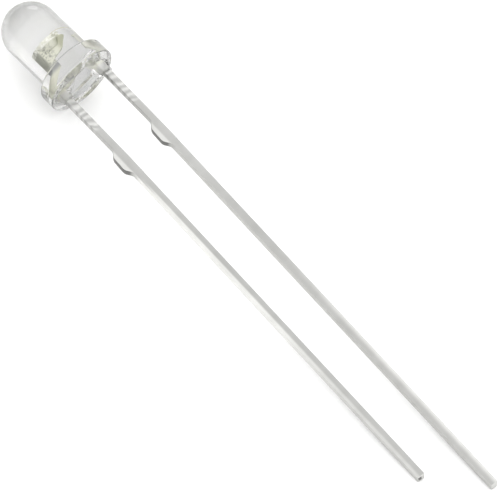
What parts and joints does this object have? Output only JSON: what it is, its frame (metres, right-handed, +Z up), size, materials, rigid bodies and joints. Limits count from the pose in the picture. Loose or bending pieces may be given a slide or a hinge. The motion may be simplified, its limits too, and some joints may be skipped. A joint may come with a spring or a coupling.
{
  "type": "through hole led",
  "caption": "Round clear through-hole light-emitting diode with a domed lens, a flange and long and short straight legs with stoppers.",
  "frame": {"origin": "on the table, under the middle of the whole lamp as it lies", "axes": "+X towards the leg tips, along the lamp; the dome points to -X; +Y towards the long leg; +Z up from the table"},
  "size_m": [0.0362, 0.0048, 0.004],
  "materials": {
    "clear_epoxy": "cast water-clear epoxy, gloss",
    "plated_strip": "tin-plated stamped steel strip, satin",
    "silver_adhesive": "cured silver-filled adhesive",
    "chip": "sawn semiconductor with a polished top",
    "gold_wire": "drawn gold bond wire"
  },
  "bodies": {
    "root": {"lens": "clear_epoxy", "cathode_lead": "plated_strip", "anode_lead": "plated_strip", "die_attach": "silver_adhesive", "led_chip": "chip", "bond_wire": "gold_wire"}
  },
  "joints": []
}
